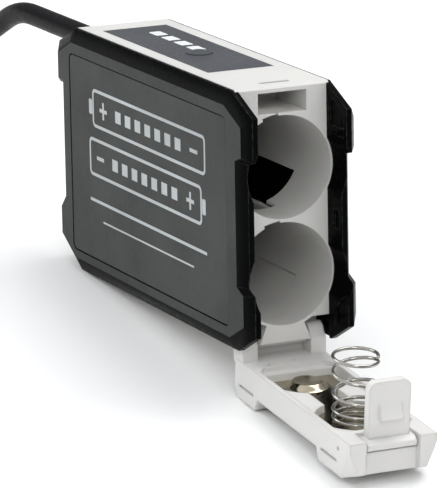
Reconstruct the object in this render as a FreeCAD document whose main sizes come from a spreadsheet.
import FreeCAD, Part
import math
import os
import Sketcher

# Two-cell 18650 power case for a video headset, with its end door open.
# Frame: origin at the centre of the lower cell bore's mouth, +X out of the bores towards
# the door, +Y across the thickness, +Z up through the two cells.
# Every piece is drawn about the mid height between the cells and lifted by half the cell
# pitch. The door's pieces are drawn with the door shut and turned open about the hinge pin.

doc = FreeCAD.newDocument("headset_battery_case")
Vector, Placement, Rotation = FreeCAD.Vector, FreeCAD.Placement, FreeCAD.Rotation
X_AXIS, Y_AXIS, Z_AXIS = Vector(1, 0, 0), Vector(0, 1, 0), Vector(0, 0, 1)

# ---------------------------------------------------------------- driving dimensions
# Places along X are depths behind the mouth, unless they belong to the door or a cover tab.
TABLE = [
    # cells and core moulding
    ("bore_radius", 9.75), ("cell_pitch", 20.1), ("tube_radius", 10.3), ("bore_depth", 73.5),
    ("seat_high_deep", 71.5), ("seat_low_deep", 60.3),
    ("core_length", 80.4), ("core_half", 9.5), ("case_top", 25.4), ("case_bottom", 23.1),
    ("end_flange", 1.2), ("deck_under", 19.9), ("deck_over", 19.0), ("rear_block", 74.2),
    ("corner_run", 8.0), ("corner_drop", 3.8), ("ear_notch_deep", 6.5), ("ear_notch_top", 18.75),
    ("block_top_half", 3.4), ("block_low_half", 5.2), ("block_bottom", 23.0),
    ("latch_half", 4.9), ("latch_low", 20.25), ("latch_high", 24.2), ("latch_deep", 13.0),
    ("catch_front", 2.8), ("catch_back", 4.15), ("catch_half", 3.0),
    ("gauge_back", 65.7), ("gauge_front", 18.5), ("gauge_half", 6.0), ("gauge_floor", 21.0),
    ("label_back", 66.7), ("label_front", 17.5), ("label_half", 6.8), ("label_thick", 0.4),
    ("chamber_back", 79.2), ("chamber_front", 74.9), ("chamber_half", 18.0),
    ("chamber_wall", 8.0), ("exit_height", 19.8), ("cord_radius", 2.2),
    ("peg_radius", 1.1), ("peg_gap", 0.06), ("peg_front", 15.6), ("peg_back", 70.0),
    ("peg_high", 22.6), ("peg_low", 21.2), ("peg_reach", 2.4),
    # side covers and their label panels
    ("cover_face", 11.45), ("cover_rim", 10.0), ("cover_inner", 9.55), ("tab_inner", 8.9),
    ("cover_top", 25.3), ("cover_base", 23.3), ("tab_front", 8.3), ("tab_back", 81.0),
    ("mid_front", 6.1), ("mid_back", 78.8), ("channel_radius", 10.4), ("mouth_radius", 10.05),
    ("panel_front", 0.2), ("panel_back", 73.0), ("panel_high", 20.6), ("panel_low", 18.9),
    ("panel_deep", 0.5), ("panel_gap", 0.25), ("panel_corner", 1.2),
    # door
    ("hinge_back", 3.2), ("hinge_low", 22.4), ("knuckle", 1.9), ("pin_radius", 0.75),
    ("pin_half", 8.3), ("door_angle", 96.0), ("door_half", 8.6), ("door_in", 0.25),
    ("door_out", 5.3), ("lug_out", 7.6), ("door_low", 22.6), ("door_high", 25.2),
    ("ear_inner", 5.45), ("ear_outer", 8.5), ("tray_in", 1.1), ("contact_seat", 2.9),
    ("lobe_low", 7.6), ("lobe_high", 7.8), ("waist", 3.0), ("post_inner", 5.3),
    # latch tongue
    ("tongue_tip", 10.0), ("tongue_half", 4.1), ("tongue_low", 21.3), ("tongue_high", 23.2),
    ("foot_half", 4.9), ("wedge_high", 1.30), ("bead_in", 1.45), ("bead_up", 21.55),
    ("bead_radius", 0.9),
    # springs
    ("wire_radius", 0.33),
]


class Size:
    """A number together with the sheet expression that drives it."""

    def __init__(self, value, text):
        self.value, self.text = float(value), text

    def __float__(self):
        return self.value

    def __add__(self, other):
        return Size(self.value + float(other), "(%s + %s)" % (self.text, text_of(other)))

    def __sub__(self, other):
        return Size(self.value - float(other), "(%s - %s)" % (self.text, text_of(other)))

    def __mul__(self, other):
        return Size(self.value * float(other), "(%s * %s)" % (self.text, text_of(other)))

    def __neg__(self):
        return Size(-self.value, "(0 - %s)" % self.text)


def text_of(size):
    return size.text if isinstance(size, Size) else repr(float(size))


class Sizes:
    """Holds each driving dimension as a Size under its alias."""


dim = Sizes()
sheet = doc.addObject("Spreadsheet::Sheet", "dims")
for row, (alias, value) in enumerate(TABLE, start=1):
    sheet.set("A%d" % row, alias)
    sheet.set("B%d" % row, str(value))
    sheet.setAlias("B%d" % row, alias)
    setattr(dim, alias, Size(value, "dims." + alias))
doc.recompute()

# heights of the two cell axes
UPPER = dim.cell_pitch * 0.5
LOWER = -UPPER
CELLS = (("high", UPPER), ("low", LOWER))
# the sides at -Y and +Y; the sign runs along the normal of an XZ sketch, which is -Y
SIDES = (("near", 1), ("far", -1))
PEGS = [(-dim.peg_front, dim.peg_high), (-dim.peg_back, dim.peg_high),
        (-dim.peg_front, -dim.peg_low), (-dim.peg_back, -dim.peg_low)]

LIFT = Placement(Vector(0, 0, float(UPPER)), Rotation())
HINGE = Vector(-float(dim.hinge_back), 0, -float(dim.hinge_low))
OPEN = LIFT.multiply(
    Placement(Vector(0, 0, 0), Rotation(Y_AXIS, float(dim.door_angle)), HINGE))
PIECES = []


def keep(obj, label, place=LIFT):
    """Label a finished piece and put it in its place."""
    obj.Label = label
    obj.Placement = place
    PIECES.append((label, obj))


def bind(obj, prop, size):
    """Set a property, driven from the sheet where the size is."""
    if isinstance(size, Size):
        obj.setExpression(prop, size.text)
    else:
        setattr(obj, prop, size)


# ---------------------------------------------------------------- sketched features
def new_body(name):
    body = doc.addObject("PartDesign::Body", name + "_body")
    doc.recompute()
    return body


def pin_point(sketch, geo, pos, x, y):
    """Fix one point of the sketch at driven coordinates."""
    for kind, size, axis in (("DistanceX", x, -2), ("DistanceY", y, -1)):
        if abs(float(size)) < 1e-9:
            sketch.addConstraint(Sketcher.Constraint("PointOnObject", geo, pos, axis))
        else:
            add_size(sketch, size, kind, -1, 1, geo, pos)


def add_size(sketch, size, *constraint):
    index = sketch.addConstraint(Sketcher.Constraint(*constraint, float(size)))
    if isinstance(size, Size):
        sketch.setExpression("Constraints[%d]" % index, size.text)


def add_loop(sketch, points):
    """Closed straight-sided loop through driven points."""
    count = len(points)
    first = sketch.GeometryCount
    corners = [Vector(float(x), float(y), 0) for x, y in points]
    for i in range(count):
        sketch.addGeometry(Part.LineSegment(corners[i], corners[(i + 1) % count]), False)
    for i in range(count):
        sketch.addConstraint(
            Sketcher.Constraint("Coincident", first + i, 2, first + (i + 1) % count, 1))
    for i, (x, y) in enumerate(points):
        pin_point(sketch, first + i, 1, x, y)


def add_circle(sketch, x, y, radius):
    circle = Part.Circle(Vector(float(x), float(y), 0), Z_AXIS, float(radius))
    geo = sketch.addGeometry(circle, False)
    pin_point(sketch, geo, 3, x, y)
    add_size(sketch, radius, "Radius", geo)


def draw(body, name, plane, loops=(), circles=(), offset=0.0):
    """Sketch on an origin plane ("XY", "XZ" or "YZ"), offset along the plane's normal."""
    sketch = body.newObject("Sketcher::SketchObject", name)
    support = next(f for f in body.Origin.OriginFeatures if f.Role == plane + "_Plane")
    sketch.AttachmentSupport = [(support, "")]
    sketch.MapMode = "FlatFace"
    sketch.AttachmentOffset = Placement(Vector(0, 0, float(offset)), Rotation())
    if isinstance(offset, Size):
        sketch.setExpression("AttachmentOffset.Base.z", offset.text)
    for points in loops:
        add_loop(sketch, points)
    for x, y, radius in circles:
        add_circle(sketch, x, y, radius)
    return sketch


def volume_of(body):
    return body.Shape.Volume if body.Tip else 0.0


def require_change(body, name, before, sign):
    """Recompute, and stop if the feature added (+1) or removed (-1) nothing."""
    doc.recompute()
    if (volume_of(body) - before) * sign <= 1e-6:
        raise RuntimeError(name + " changed nothing")


def extrude(kind, sign, body, name, plane, length, mid=False, reverse=False, **drawing):
    sketch = draw(body, name + "_sketch", plane, **drawing)
    doc.recompute()
    before = volume_of(body)
    feature = body.newObject("PartDesign::" + kind, name)
    feature.Profile = sketch
    bind(feature, "Length", length)
    if mid:
        feature.SideType = "Symmetric"
    feature.Reversed = reverse
    require_change(body, name, before, sign)


def pad(*args, **settings):
    """Add material along the sketch's normal, or against it when reversed."""
    extrude("Pad", 1, *args, **settings)


def cut(*args, **settings):
    """Remove material against the sketch's normal, or along it when reversed."""
    extrude("Pocket", -1, *args, **settings)


def loft(kind, sign, body, name, start, end):
    """Ruled loft between two sketches."""
    doc.recompute()
    before = volume_of(body)
    feature = body.newObject("PartDesign::" + kind, name)
    feature.Profile = start
    feature.Sections = [end]
    feature.Ruled = True
    require_change(body, name, before, sign)


def rect(x0, y0, x1, y1):
    return [(x0, y0), (x1, y0), (x1, y1), (x0, y1)]


def soft_rect(x0, y0, x1, y1, radius):
    """Rectangle whose rounded corners are drawn as four short chords each."""
    centres = rect(x0 + radius, y0 + radius, x1 - radius, y1 - radius)
    points = []
    for corner, (x, y) in enumerate(centres):
        for step in range(5):
            angle = math.radians(180 + 90 * corner + 22.5 * step)
            points.append((x + radius * round(math.cos(angle), 9),
                           y + radius * round(math.sin(angle), 9)))
    return points


# ---------------------------------------------------------------- solid helpers
def group(name, shapes, place=LIFT):
    """Keep one or more like solids as one piece."""
    obj = doc.addObject("Part::Feature", name + "_feature")
    obj.Shape = Part.makeCompound(shapes)
    keep(obj, name, place)


def primitive(kind, name, base, axis=Z_AXIS, **sizes):
    """Part primitive at base, with its own Z turned to axis."""
    obj = doc.addObject("Part::" + kind, name)
    for prop, size in sizes.items():
        bind(obj, prop, size)
    obj.Placement = Placement(Vector(*[float(c) for c in base]), Rotation(Z_AXIS, axis))
    return obj


def box(name, low, high):
    length, width, height = [b - a for a, b in zip(low, high)]
    return primitive("Box", name, low, Length=length, Width=width, Height=height)


def fuse(name, tools):
    obj = doc.addObject("Part::MultiFuse", name)
    obj.Shapes = tools
    doc.recompute()
    return obj


def minus(name, base, tool):
    obj = doc.addObject("Part::Cut", name)
    obj.Base = base
    obj.Tool = tool
    doc.recompute()
    return obj


def join(solids):
    result = solids[0]
    for solid in solids[1:]:
        result = result.fuse(solid)
    return result


def disc(centre, normal, radius):
    return Part.Face(Part.Wire(Part.Circle(centre, normal, radius).toShape()))


def coil(base, direction, stations):
    """Round-wire coil of half turns, growing from base along direction.

    stations holds (coil radius, rise) at every half turn, so both can change."""
    halves = []
    for i in range(len(stations) - 1):
        sign = 1 if i % 2 == 0 else -1
        (radius, rise), (next_radius, next_rise) = stations[i], stations[i + 1]
        start = Vector(sign * radius, 0, rise)
        end = Vector(-sign * next_radius, 0, next_rise)
        axis = Y_AXIS.cross(end - start).normalize() * sign
        face = disc(start, Y_AXIS * sign, float(dim.wire_radius))
        halves.append(face.revolve((start + end) * 0.5, axis, 180))
    result = join(halves)
    result.Placement = Placement(base, Rotation(Z_AXIS, direction))
    return result


def bent(points, bends, radius):
    """Round rod along straight runs. bends holds the bend radius at each inner corner."""
    points = [Vector(*point) for point in points]
    start, solids = points[0], []
    for i in range(1, len(points)):
        run = (points[i] - points[i - 1]).normalize()
        last = i == len(points) - 1
        stop = points[i]
        if not last:
            bend = bends[i - 1]
            next_run = (points[i + 1] - points[i]).normalize()
            angle = run.getAngle(next_run)
            setback = bend * math.tan(angle / 2)
            stop = points[i] - run * setback
        solids.append(Part.makeCylinder(radius, (stop - start).Length, start, run))
        if not last:
            axis = run.cross(next_run).normalize()
            centre = stop + axis.cross(run) * bend
            solids.append(disc(stop, run, radius).revolve(centre, axis, math.degrees(angle)))
            start = points[i] + next_run * setback
    return join(solids).removeSplitter()


def turned(profile, origin, direction):
    """Solid of revolution from (distance along the axis, radius) pairs."""
    points = [Vector(radius, 0, along) for along, radius in profile]
    face = Part.Face(Part.makePolygon(points + [points[0]]))
    solid = face.revolve(Vector(0, 0, 0), Z_AXIS, 360)
    solid.Placement = Placement(origin, Rotation(Z_AXIS, direction))
    return solid


# ---------------------------------------------------------------- core moulding (white)
def core_solids(core):
    """Outer frame, cell tubes and hinge block."""
    length, top, bottom = dim.core_length, dim.case_top, dim.case_bottom
    corner_x = -(length - dim.corner_run)
    notch_x = -dim.ear_notch_deep
    outer = [(corner_x, top), (-0.5, top), (0, top - 0.5), (0, -dim.ear_notch_top),
             (notch_x, -dim.ear_notch_top), (notch_x, -bottom), (corner_x, -bottom),
             (-length, -(bottom - dim.corner_drop)), (-length, top - dim.corner_drop)]
    step_x, step_z = notch_x - 1.5, -17.4    # inner step above the ear notch
    window = [(-dim.rear_block, -dim.deck_over), (step_x, -dim.deck_over), (step_x, step_z),
              (-dim.end_flange, step_z), (-dim.end_flange, dim.deck_under),
              (-dim.rear_block, dim.deck_under)]
    pad(core, "frame", "XZ", dim.core_half * 2, loops=[outer, window], mid=True)
    for tag, z in CELLS:
        pad(core, "cell_tube_" + tag, "YZ", dim.rear_block + 0.2,
            circles=[(0, z, dim.tube_radius)], reverse=True)
    # hinge block between the door's ears, wider at its foot
    block_top = -(dim.ear_notch_top - 0.3)
    block = [(-dim.block_top_half, block_top), (dim.block_top_half, block_top),
             (dim.block_low_half, -dim.block_bottom), (-dim.block_low_half, -dim.block_bottom)]
    pad(core, "hinge_block", "YZ", dim.ear_notch_deep + 0.1, loops=[block], reverse=True)
    pad(core, "hinge_knuckle", "XZ", dim.block_low_half * 2 - 0.2,
        circles=[(-dim.hinge_back, -dim.hinge_low, dim.knuckle)], mid=True)


def core_bores(core):
    """Cell bores and the small openings in their walls."""
    for (tag, z), depth in zip(CELLS, (dim.seat_high_deep, dim.seat_low_deep)):
        cut(core, "bore_" + tag, "YZ", depth, circles=[(0, z, dim.bore_radius)])
    # narrower ends of the bores, which hold the rear contacts and the lower spring
    for tag, z in CELLS:
        cut(core, "bore_end_" + tag, "YZ", dim.bore_depth,
            circles=[(0, z, dim.bore_radius - 0.25)])
    # finger windows towards +Y and below each cell's middle: through the wall of the upper
    # tube (radius 10.75), and a recess inside the wall of the lower one (radius 10.1)
    window_inside = 9.0
    for (tag, z), outside in zip(CELLS, (10.75, 10.1)):
        arcs = ([(outside, angle) for angle in (-76, -63, -50, -37, -25)]
                + [(window_inside, angle) for angle in (-25, -50, -76)])
        window = [(radius * math.cos(math.radians(angle)),
                   z + radius * math.sin(math.radians(angle))) for radius, angle in arcs]
        cut(core, "tube_window_" + tag, "YZ", 46.0, loops=[window], offset=-13.8)
        # small key notch at the mouth, towards -Y and above
        notch = [(-3.8, z + 8.6), (-0.6, z + 9.4), (-0.9, z + 10.22), (-4.1, z + 9.42)]
        cut(core, "key_notch_" + tag, "YZ", 1.15, loops=[notch])
    # opening through the thin web between the two bores
    cut(core, "web_window", "YZ", 15.0, loops=[rect(-1.5, -0.8, 3.0, 1.4)], offset=-9.5)


def core_top(core):
    """Latch pocket, catch slot and the seats of the gauge."""
    above = dim.case_top + 0.5
    cut(core, "latch_pocket", "YZ", dim.latch_deep,
        loops=[rect(-dim.latch_half, dim.latch_low, dim.latch_half, dim.latch_high)])
    cut(core, "catch_slot", "XY", 2.0, offset=above,
        loops=[rect(-dim.catch_back, -dim.catch_half, -dim.catch_front, dim.catch_half)])
    cut(core, "gauge_pocket", "XY", dim.case_top - dim.gauge_floor, offset=dim.case_top,
        loops=[rect(-dim.gauge_back, -dim.gauge_half, -dim.gauge_front, dim.gauge_half)])
    cut(core, "label_seat", "XY", dim.label_thick, offset=dim.case_top,
        loops=[rect(-dim.label_back, -dim.label_half, -dim.label_front, dim.label_half)])


def core_rear(core):
    """Chamber for the contacts and leads, with the openings that lead into it."""
    # the chamber is open towards +Y, under the far cover
    cut(core, "rear_chamber", "XZ", dim.core_half + dim.chamber_wall + 0.5,
        loops=[rect(-dim.chamber_back, -dim.chamber_half, -dim.chamber_front,
                    dim.chamber_half)],
        offset=dim.chamber_wall)
    # lead duct from the gauge pocket to the chamber
    duct_top = 23.4
    cut(core, "lead_duct", "XZ", 3.0, mid=True,
        loops=[rect(-78.0, 16.5, -dim.chamber_front, duct_top)])
    cut(core, "lead_duct_top", "XY", 1.8, loops=[rect(-76.5, -1.4, -65.5, 1.4)],
        offset=duct_top)
    # contact slots through the rear wall of each bore
    for tag, z in CELLS:
        cut(core, "contact_slot_" + tag, "YZ", 3.0, loops=[rect(-1.7, z + 4.2, 1.7, z + 5.0)],
            offset=-73.0)
    # cord hole through the rear wall, with a wider seat for the grommet
    cut(core, "cord_hole", "YZ", 6.0, circles=[(0, dim.exit_height, dim.cord_radius + 0.05)],
        offset=-dim.chamber_front)
    cut(core, "grommet_seat", "YZ", 2.0, circles=[(0, dim.exit_height, 2.85)],
        offset=-(dim.core_length - 1.25))


def core_holes(core):
    """Hinge pin hole and cover peg holes."""
    cut(core, "pin_hole", "XZ", 24.0, mid=True,
        circles=[(-dim.hinge_back, -dim.hinge_low, dim.pin_radius + 0.012)])
    for tag, sign in SIDES:
        cut(core, "peg_holes_" + tag, "XZ", dim.peg_reach + 0.4,
            circles=[(x, z, dim.peg_radius + dim.peg_gap) for x, z in PEGS],
            offset=dim.core_half * sign, reverse=sign < 0)


def make_core():
    core = new_body("core_body")
    core_solids(core)
    core_bores(core)
    core_top(core)
    core_rear(core)
    core_holes(core)
    keep(core, "core_body")


# ---------------------------------------------------------------- side covers (black)
# Outlines are (x, z). The door-end edge runs downwards.
DOOR_EDGE = [
    (dim.tab_front, dim.cover_top - 3.8), (dim.tab_front, 13.3), (dim.mid_front, 12.7),
    (dim.mid_front, -10.4), (dim.tab_front, -11.5), (dim.tab_front, -(dim.cover_base - 3.9)),
    (0.8, -dim.cover_base),
]
RIM_OUTLINE = [(-72.4, dim.cover_top), (-0.5, dim.cover_top)] + DOOR_EDGE + [
    (-72.4, -dim.cover_base), (-dim.tab_back, -(dim.cover_base - 5.0)),
    (-dim.tab_back, -11.9), (-dim.mid_back, -9.8), (-dim.mid_back, 13.3),
    (-dim.tab_back, 13.3), (-dim.tab_back, dim.cover_top - 3.8),
]
FACE_OUTLINE = [
    (-71.9, 22.7), (-0.9, 22.7), (6.2, 19.6), (6.2, 14.1), (3.5, 13.1), (3.5, -10.5),
    (6.2, -11.7), (6.2, -17.5), (0.0, -20.7), (-71.9, -20.5), (-78.6, -16.8),
    (-78.6, -11.4), (-76.2, -8.9), (-76.2, 14.6), (-78.6, 14.6), (-78.6, 19.6),
]
CORE_GAP = 0.12    # between the core's ends and the cover's end walls
# shallow hollows in the inner face at the door end
HOLLOWS = (
    ("top", [(0.9, 20.9), (2.6, 22.5), (7.2, 20.5), (7.2, 17.4), (0.9, 17.4)]),
    ("under_top", rect(3.4, 15.9, 7.2, 16.8)),
    ("middle", rect(2.4, -1.8, 4.9, 1.8)),
    ("low", [(2.6, -16.9), (7.2, -13.4), (7.2, -17.9), (2.6, -20.2)]),
)


def make_cover(tag, sign):
    cover = new_body("side_cover_" + tag)
    inwards = sign > 0      # reversal that makes a pad go towards the core
    outwards = not inwards  # reversal that makes a pad go away from it
    # plate on the core's side, then the bevel up to the outer face
    pad(cover, "plate", "XZ", dim.cover_rim - dim.cover_inner, loops=[RIM_OUTLINE],
        offset=dim.cover_inner * sign, reverse=outwards)
    low = draw(cover, "bevel_low", "XZ", loops=[RIM_OUTLINE], offset=dim.cover_rim * sign)
    high = draw(cover, "bevel_high", "XZ", loops=[FACE_OUTLINE], offset=dim.cover_face * sign)
    loft("AdditiveLoft", 1, cover, "bevel", low, high)
    # end walls beyond the core, at the door end and the cord end
    front = ([(CORE_GAP, dim.cover_top - 0.27)] + DOOR_EDGE
             + [(CORE_GAP, -dim.cover_base)])
    rear_x = -(dim.core_length + CORE_GAP)
    rear = [(rear_x, -17.4), (rear_x, -12.4), (-dim.tab_back, -12.0), (-dim.tab_back, -18.0)]
    for name, outline in (("front_wall", front), ("rear_wall_low", rear)):
        pad(cover, name, "XZ", dim.cover_inner - dim.tab_inner + 0.1, loops=[outline],
            offset=dim.tab_inner * sign, reverse=outwards)
    # pegs that locate the cover in the core
    pad(cover, "pegs", "XZ", dim.peg_reach + 0.2,
        circles=[(x, z, dim.peg_radius) for x, z in PEGS],
        offset=(dim.cover_inner + 0.1) * sign, reverse=inwards)
    # channels for the tube bulges, and narrower ones at the door end that let the cells pass
    for name, radius, length, start in (("channel_", dim.channel_radius, 75 + CORE_GAP, CORE_GAP),
                                        ("mouth_", dim.mouth_radius, 10.0, 9.0)):
        for cell, z in CELLS:
            cut(cover, name + cell, "YZ", length, circles=[(0, z, radius)], offset=start)
    for name, outline in HOLLOWS:
        cut(cover, "hollow_" + name, "XZ", 0.75, loops=[outline],
            offset=(dim.tab_inner - 0.3) * sign, reverse=inwards)
    # seat of the label panel
    seat = soft_rect(-dim.panel_back, -dim.panel_low, -dim.panel_front, dim.panel_high,
                     dim.panel_corner + dim.panel_gap)
    cut(cover, "panel_seat", "XZ", dim.panel_deep, loops=[seat],
        offset=dim.cover_face * sign, reverse=outwards)
    keep(cover, "side_cover_" + tag)


def make_label_panel(tag, sign):
    """Thin plate with rounded corners, set in the cover's seat."""
    panel = new_body("label_panel_" + tag)
    gap = dim.panel_gap
    outline = soft_rect(-(dim.panel_back - gap), -(dim.panel_low - gap),
                        -(dim.panel_front + gap), dim.panel_high - gap, dim.panel_corner)
    pad(panel, "sheet", "XZ", dim.panel_deep - 0.1, loops=[outline],
        offset=(dim.cover_face - dim.panel_deep + 0.02) * sign, reverse=sign < 0)
    keep(panel, "label_panel_" + tag)


# ---------------------------------------------------------------- charge gauge in the top
LIGHTS = [-58.75 + 5.85 * i for i in range(4)]    # x of the gauge lights
LIGHT_HALF = 2.15                                 # half length of a light hole
LIGHT_NEAR, LIGHT_FAR = 0.3, 2.9                  # y of a light hole's two edges
BUTTON_X = -36.2
BOARD_UNDER, BOARD_THICK = 22.4, 1.0
BOARD_HALF = 5.7
SEAT_GAP = 0.02                                   # between stacked gauge parts
ON_BOARD = BOARD_UNDER + BOARD_THICK + SEAT_GAP


def make_gauge_label():
    label = new_body("gauge_label")
    edge = 0.08    # clearance around the membrane
    above = dim.case_top + 0.5
    half = dim.label_half - edge
    pad(label, "membrane", "XY", dim.label_thick - 0.02,
        loops=[rect(-(dim.label_back - edge), -half, -(dim.label_front + edge), half)],
        offset=dim.case_top - dim.label_thick + 0.01)
    for i, x in enumerate(LIGHTS, start=1):
        cut(label, "light_hole_%d" % i, "XY", 2.0, offset=above,
            loops=[rect(x - LIGHT_HALF, LIGHT_NEAR, x + LIGHT_HALF, LIGHT_FAR)])
    cut(label, "button_hole", "XY", 2.0, circles=[(BUTTON_X, 0, 2.65)], offset=above)
    keep(label, "gauge_label")


def make_gauge_windows():
    """Clear windows in the light holes, with rounded upright edges."""
    gap, thick, corner = 0.05, 0.36, 0.35
    under = float(dim.case_top) - 0.375
    windows = []
    for x in LIGHTS:
        window = Part.makeBox(2 * (LIGHT_HALF - gap), LIGHT_FAR - LIGHT_NEAR - 2 * gap, thick,
                              Vector(x - LIGHT_HALF + gap, LIGHT_NEAR + gap, under))
        upright = [edge for edge in window.Edges
                   if abs(edge.Vertexes[0].Point.z - edge.Vertexes[-1].Point.z) > 0.2]
        windows.append(window.makeFillet(corner, upright))
    group("gauge_windows", windows)


def make_gauge_board():
    blank = box("board_blank", (-65.2, -BOARD_HALF, BOARD_UNDER),
                (-19.0, BOARD_HALF, BOARD_UNDER + BOARD_THICK))
    holes = [primitive("Cylinder", name, (x, y, BOARD_UNDER - 1), Radius=0.8, Height=3.0)
             for name, x, y in (("board_hole_a", -63.6, -4.3), ("board_hole_b", -20.6, 4.3))]
    keep(minus("gauge_board_shape", blank, fuse("board_holes", holes)), "gauge_board")


def make_board_parts():
    """Spacers under the board, and the lights and switch on it."""
    floor = float(dim.gauge_floor)
    group("board_spacers", [
        Part.makeBox(1.6, 2 * BOARD_HALF, BOARD_UNDER - floor - 2 * SEAT_GAP,
                     Vector(x, -BOARD_HALF, floor + SEAT_GAP)) for x in (-64.9, -20.9)])
    group("gauge_leds", [Part.makeBox(1.6, 0.9, 0.7, Vector(x - 0.8, 1.15, ON_BOARD))
                         for x in LIGHTS])
    base_half, can_half = 1.7, 1.4
    base_top = ON_BOARD + 0.3
    base = box("switch_base", (BUTTON_X - base_half, -base_half, ON_BOARD),
               (BUTTON_X + base_half, base_half, base_top))
    can = box("switch_can", (BUTTON_X - can_half, -can_half, base_top),
              (BUTTON_X + can_half, can_half, base_top + 0.2))
    keep(fuse("button_switch_shape", [base, can]), "button_switch")


def make_test_button():
    """Shallow dome on a collar, with a stem underneath."""
    dome = Part.makeCylinder(2.5, 1.4, Vector(0, 0, 24.8))
    dome = dome.common(Part.makeSphere(6.16, Vector(0, 0, 19.92)))
    collar = Part.makeCylinder(3.2, 0.3, Vector(0, 0, 24.6))
    stem = Part.makeCylinder(1.1, 0.4, Vector(0, 0, 24.35))
    button = dome.fuse(collar).fuse(stem)
    button.translate(Vector(BUTTON_X, 0, 0))
    group("test_button", [button])


# ---------------------------------------------------------------- rear contacts and leads
CONTACT_BACK, CONTACT_THICK = -73.45, 0.4
CONTACT_FACE = CONTACT_BACK + CONTACT_THICK
SPRING_GAP = 0.03    # between a spring's first turn and its plate


def contact_plate(name, z):
    """Nickel disc on the bore's rear wall, and its tab into the chamber."""
    return [primitive("Cylinder", name + "_disc", (CONTACT_BACK, 0, z), X_AXIS,
                      Radius=7.2, Height=CONTACT_THICK),
            box(name + "_tab", (-77.4, -1.5, float(z) + 4.35), (-73.3, 1.5, float(z) + 4.85))]


def make_rear_contacts():
    upper = contact_plate("rear_contact_upper", UPPER)
    nub = primitive("Cone", "upper_nub", (CONTACT_FACE - 0.05, 0, UPPER), X_AXIS,
                    Radius1=3.2, Radius2=2.2, Height=1.1)
    keep(fuse("rear_contact_upper_shape", upper + [nub]), "rear_contact_upper")
    lower = contact_plate("rear_contact_lower", LOWER)
    keep(fuse("rear_contact_lower_shape", lower), "rear_contact_lower")


# (coil radius, rise) at every half turn
REAR_SPRING = [(5.2, 0.02), (5.2, 0.35), (5.2, 0.8), (5.1, 1.7), (4.9, 2.9), (4.7, 4.3),
               (4.5, 5.8), (4.3, 7.3), (4.15, 8.8)]
REAR_SPRING_TIP = [(3.9, 10.4), (3.9, 10.8), (3.9, 11.2), (3.8, 11.6)]


def make_rear_spring():
    """Coil from the lower bore's rear plate towards the cell, with a separate tip."""
    base = Vector(CONTACT_FACE + float(dim.wire_radius) + SPRING_GAP, 0, float(LOWER))
    group("rear_spring", [coil(base, X_AXIS, REAR_SPRING)])
    group("rear_spring_tip", [coil(base, X_AXIS, REAR_SPRING_TIP)])


# (x, y, z) corners of the leads from the two contacts to the cord, inside the chamber
RED_PATH = [(-76.2, 0.1, 14.92), (-76.2, 0.7, 19.3), (-78.62, 0.75, 19.75)]
BLACK_PATH = [(-76.2, -0.9, -5.18), (-76.2, -0.9, -2.5), (-76.2, -2.7, 2.0),
              (-76.2, -2.7, 14.7), (-76.35, -0.9, 17.5), (-76.9, -0.8, 19.4),
              (-78.62, -0.8, 19.75)]


def make_leads():
    lead_radius = 0.5
    group("lead_red", [bent(RED_PATH, [1.2], lead_radius)])
    group("lead_black", [bent(BLACK_PATH, [2.5, 2.5, 1.5, 1.5, 0.8], lead_radius)])


# ---------------------------------------------------------------- grommet, cord and plug
CORD = float(dim.cord_radius)
# The plug's axis runs at a fixed height over a line that rises away from the case.
FLOOR_X, FLOOR_Z, FLOOR_SLOPE = -72.0, -23.3, -0.1448
PLUG_HEIGHT = 4.95


def over_floor(x):
    """Point on the plug's axis line at x."""
    return Vector(x, 0, FLOOR_Z + (x - FLOOR_X) * FLOOR_SLOPE + PLUG_HEIGHT)


PLUG_TILT = math.atan(-FLOOR_SLOPE)
PLUG_AXIS = Vector(-math.cos(PLUG_TILT), 0, math.sin(PLUG_TILT))
PLUG_START = over_floor(-187.0)

# (distance along the plug's axis, radius)
PLUG_PROFILES = (
    ("plug_body", [(-0.3, CORD + 0.05), (-0.3, 3.0), (6.0, 3.6), (8.0, 4.4), (9.0, 4.9),
                   (20.5, 4.9), (22.0, 4.4), (22.0, 2.4), (14.0, 2.4), (14.0, CORD + 0.05)]),
    ("plug_barrel", [(15.0, 1.95), (15.0, 2.35), (22.02, 2.35), (22.02, 2.75), (31.52, 2.75),
                     (31.52, 1.95)]),
    ("plug_insulator", [(15.0, 1.3), (15.0, 1.9), (31.3, 1.9), (31.3, 1.3)]),
    ("plug_contact", [(15.0, 1.05), (15.0, 1.25), (30.6, 1.25), (30.6, 1.05)]),
)


def make_strain_relief():
    """Flange outside the rear wall, neck in its seat and sleeve around the cord."""
    rear, z = -dim.core_length, dim.exit_height
    flange = primitive("Cylinder", "grommet_flange", (rear - 1.5, 0, z), X_AXIS,
                       Radius=3.3, Height=1.4)
    neck = primitive("Cylinder", "grommet_neck", (rear - 0.15, 0, z), X_AXIS,
                     Radius=2.8, Height=1.2)
    sleeve = primitive("Cone", "grommet_sleeve", (rear - 4.85, 0, z), X_AXIS,
                       Radius1=2.75, Radius2=3.1, Height=3.4)
    bore = primitive("Cylinder", "grommet_bore", (rear - 6, 0, z), X_AXIS,
                     Radius=dim.cord_radius + 0.02, Height=12.0)
    solid = fuse("grommet_solid", [flange, neck, sleeve])
    keep(minus("strain_relief_shape", solid, bore), "strain_relief")


def make_cord_and_plug():
    exit_z = float(dim.exit_height)
    path = [(-78.75, 0, exit_z), (-126.0, 0, exit_z), over_floor(-178.3),
            PLUG_START + PLUG_AXIS * 13.6]
    group("power_cord", [bent(path, [36.0, 18.0], CORD)])
    for name, profile in PLUG_PROFILES:
        group(name, [turned(profile, PLUG_START, PLUG_AXIS)])


def make_hinge_pin():
    pin = primitive("Cylinder", "hinge_pin_shape",
                    (-dim.hinge_back, -dim.pin_half, -dim.hinge_low), Y_AXIS,
                    Radius=dim.pin_radius, Height=dim.pin_half * 2)
    keep(pin, "hinge_pin", LIFT.multiply(pin.Placement))


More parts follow.
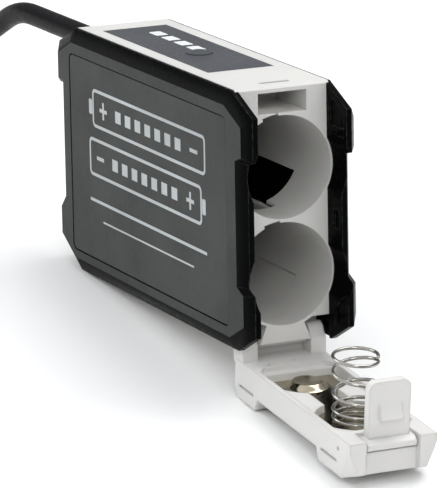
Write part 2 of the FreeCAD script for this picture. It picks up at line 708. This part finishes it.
# ---------------------------------------------------------------- end door (white), drawn shut
# The contact's outline is a round lobe per cell, joined by a waist.
LOBE_RISE = 0.3                          # upper lobe and contact boss above the cell axes
PLATE_GAP = 0.15                         # contact plate inside its seat
PLATE_THICK = 0.4
PLATE_IN = dim.contact_seat - 0.45       # x of the plate's inner face


def lower_lobe(radius, flat):
    """Circle about the lower cell's axis, cut straight below at the height flat."""
    centre = float(LOWER)
    reach = math.degrees(math.acos((centre - flat) / radius))
    steps = 28
    angles = [math.radians(reach + (360 - 2 * reach) * i / steps) for i in range(steps + 1)]
    return [(radius * math.sin(a), centre - radius * math.cos(a)) for a in angles]


def door_solids(door):
    """Plate, two lugs on its outer face, hinge ears and the lip below."""
    inner, outer, low, high = dim.door_in, dim.door_out, -dim.door_low, dim.door_high
    root = outer - 0.3    # the lugs start a little inside the plate
    plate = [(inner, low + 0.5), (inner + 0.5, low), (outer, low), (outer, high),
             (inner, high)]
    lug_low = [(root, low), (outer + 0.9, low), (dim.lug_out, low + 1.2),
               (dim.lug_out, -13.9), (root, -12.6)]
    lug_high = [(root, 11.6), (dim.lug_out, 12.8), (dim.lug_out, 22.0),
                (dim.lug_out - 1.2, high), (root, high)]
    for name, outline in (("plate", plate), ("lug_low", lug_low), ("lug_high", lug_high)):
        pad(door, name, "XZ", dim.door_half * 2, loops=[outline], mid=True)
    # ears to the hinge pin on both sides of the hinge block
    pin_x, pin_z = -dim.hinge_back, -dim.hinge_low
    ear = [(pin_x, pin_z - dim.knuckle + 0.02), (inner + 0.9, -23.4), (inner + 0.9, -19.3),
           (pin_x + 0.4, -19.7), (pin_x - 1.7, pin_z + 0.6)]
    for tag, sign in SIDES:
        side = dict(offset=dim.ear_inner * sign, reverse=sign < 0)
        width = dim.ear_outer - dim.ear_inner
        pad(door, "knuckle_" + tag, "XZ", width, circles=[(pin_x, pin_z, dim.knuckle)], **side)
        pad(door, "ear_" + tag, "XZ", width, loops=[ear], **side)
    # lip under the hinge block
    lip = [(-1.0, -24.4), (0.9, -24.4), (2.2, -22.4), (0.25, -22.4), (0.25, -23.1),
           (-1.0, -23.1)]
    pad(door, "hinge_lip", "XZ", dim.ear_inner * 2 + 0.3, loops=[lip], mid=True)
    cut(door, "ear_holes", "XZ", 24.0, circles=[(pin_x, pin_z, dim.pin_radius + 0.05)],
        mid=True)


def door_recesses(door):
    """Tray, contact seat and latch recesses, cut outwards from the inner face."""
    inner = dim.door_in
    tray = [(-7.5, -13.8), (-6.2, -15.6), (6.2, -15.6), (7.5, -13.8), (7.5, 17.4),
            (6.0, 19.0), (-6.0, 19.0), (-7.5, 17.4)]
    cut(door, "tray", "YZ", dim.tray_in - inner + 1.0, loops=[tray], offset=inner - 1.0,
        reverse=True)
    seat_depth = dim.contact_seat - inner
    post, top = dim.post_inner, 26.0
    for name, depth, outline in (
        ("seat_low", seat_depth, dict(loops=[lower_lobe(float(dim.lobe_low), -13.9)])),
        ("seat_high", seat_depth,
         dict(circles=[(0, UPPER + LOBE_RISE, dim.lobe_high - 0.3)])),
        ("seat_waist", seat_depth, dict(loops=[rect(-dim.waist, -4.0, dim.waist, 4.0)])),
        # seat of the latch foot, then the thumb recess between the latch posts
        ("foot_seat", -inner + 2.75, dict(loops=[rect(-post, 20.3, post, top)])),
        ("thumb_recess", 8.0, dict(loops=[rect(-post, 23.9, post, top)])),
    ):
        cut(door, name, "YZ", depth, offset=inner, reverse=True, **outline)


def door_edges(door):
    """Bevelled corners at the latch end, side slits and small moulding marks."""
    half, top = dim.door_half, 26.0
    # the corner bevels grow wider towards the outer face; outlines are (y, z)
    bevel_in = [(half - 0.15, top), (half + 1.5, top), (half + 1.5, 24.35), (half, 24.35)]
    bevel_out = [(half - 3.5, top), (half + 1.5, top), (half + 1.5, 21.0), (half, 21.9)]
    for tag, side in (("near", -1), ("far", 1)):
        start, end = [
            draw(door, "corner_%s_%s" % (name, tag), "YZ", offset=x,
                 loops=[[(y * side, z) for y, z in outline]])
            for name, x, outline in (("in", 2.0, bevel_in), ("out", 8.2, bevel_out))]
        loft("SubtractiveLoft", -1, door, "corner_" + tag, start, end)
    # slits beside the lugs' roots, in both side faces
    for tag, sign in SIDES:
        cut(door, "slits_" + tag, "XZ", 0.7, offset=half * sign, reverse=sign < 0,
            loops=[rect(4.75, -20.6, 5.25, -14.6), rect(4.85, 13.6, 5.35, 20.0)])
    # round marks in the inner face and in the near side face
    mark_depth = 0.35
    cut(door, "inner_marks", "YZ", mark_depth, offset=dim.door_in, reverse=True,
        circles=[(-4.45, -17.2, 0.4), (1.1, -18.0, 0.4)])
    cut(door, "side_mark", "XZ", mark_depth, circles=[(2.63, 20.4, 0.42)], offset=half)


def make_door():
    door = new_body("end_door")
    door_solids(door)
    door_recesses(door)
    door_edges(door)
    keep(door, "end_door", OPEN)


def make_door_contact():
    """Nickel bridge plate on its seat, with a raised boss for the lower cell."""
    plate = new_body("door_contact_plate")
    waist = dim.waist - PLATE_GAP
    for name, outline in (
        ("lobe_low", dict(loops=[lower_lobe(float(dim.lobe_low) - PLATE_GAP, -13.75)])),
        ("lobe_high", dict(circles=[(0, UPPER + LOBE_RISE, dim.lobe_high - 0.45)])),
        ("bridge", dict(loops=[rect(-waist, -4.5, waist, 4.5)])),
    ):
        pad(plate, name, "YZ", PLATE_THICK, offset=PLATE_IN, **outline)
    foot, top = [draw(plate, name, "YZ", circles=[(0, LOWER + LOBE_RISE, radius)], offset=x)
                 for name, radius, x in (("boss_foot", 3.9, PLATE_IN + 0.05),
                                         ("boss_top", 2.7, PLATE_IN - 1.1))]
    loft("AdditiveLoft", 1, plate, "boss", foot, top)
    keep(plate, "door_contact_plate", OPEN)


# (coil radius, rise) at every half turn
DOOR_SPRING = [(4.15, 0.02), (4.15, 0.4), (4.15, 0.8), (4.15, 1.3), (4.15, 2.1),
               (4.15, 3.2), (4.1, 4.8), (4.1, 6.6)]
DOOR_SPRING_TIP = [(4.1, 8.4), (4.1, 10.1), (4.1, 11.4), (4.1, 12.2)]


def make_door_spring():
    """Coil on the contact plate for the upper cell, with a separate tip."""
    base = Vector(float(PLATE_IN - dim.wire_radius) - SPRING_GAP, 0, float(UPPER) + LOBE_RISE)
    group("door_spring", [coil(base, -X_AXIS, DOOR_SPRING)], OPEN)
    group("door_spring_tip", [coil(base, -X_AXIS, DOOR_SPRING_TIP)], OPEN)


def make_latch_tongue():
    """Round-cornered blade with a catch wedge on top, and a foot with a bead at its root."""
    tongue = new_body("latch_tongue")
    tip, half, top = -dim.tongue_tip, dim.tongue_half, dim.tongue_high
    root_x = 1.0
    # insets of the tip's corner points: (from the tip, from the side)
    corner = [(0.0, 1.5), (0.11, 0.93), (0.44, 0.44), (0.93, 0.11), (1.5, 0.0)]
    blade = ([(root_x, -half)]
             + [(tip + a, -half + b) for a, b in reversed(corner)]
             + [(tip + a, half - b) for a, b in corner]
             + [(root_x, half)])
    pad(tongue, "blade", "XY", top - dim.tongue_low, loops=[blade], offset=dim.tongue_low)
    foot = [(0.55, 21.55), (2.35, 21.55), (2.4, 24.3), (1.9, 24.75), (1.25, 24.75),
            (0.55, 23.7)]
    pad(tongue, "foot", "XZ", dim.foot_half * 2, loops=[foot], mid=True)
    pad(tongue, "root_bead", "XZ", dim.foot_half * 2, mid=True,
        circles=[(dim.bead_in, dim.bead_up, dim.bead_radius)])
    ramp_x, catch_x = -6.1, -2.95
    wedge = [(ramp_x, top - 0.1), (catch_x, top - 0.1), (catch_x, top + dim.wedge_high),
             (catch_x - 0.4, top + dim.wedge_high), (ramp_x, top)]
    pad(tongue, "wedge", "XZ", 4.4, loops=[wedge], mid=True)
    keep(tongue, "latch_tongue", OPEN)


def export_pieces():
    """Check every object and shape, then write one STEP file for each piece."""
    doc.recompute()
    bad = [obj.Name for obj in doc.Objects if "Invalid" in obj.State or "Error" in obj.State]
    if bad:
        raise RuntimeError("failed objects: %s" % bad)
    os.makedirs("parts", exist_ok=True)
    for label, obj in PIECES:
        if obj.Shape.isNull() or not obj.Shape.isValid() or not obj.Shape.Solids:
            raise RuntimeError("bad shape: " + label)
        obj.Shape.exportStep("parts/%s.step" % label)


make_core()
for side_tag, side_sign in SIDES:
    make_cover(side_tag, side_sign)
    make_label_panel(side_tag, side_sign)
make_gauge_label()
make_gauge_windows()
make_gauge_board()
make_board_parts()
make_test_button()
make_rear_contacts()
make_rear_spring()
make_leads()
make_strain_relief()
make_cord_and_plug()
make_hinge_pin()
make_door()
make_door_contact()
make_door_spring()
make_latch_tongue()
export_pieces()
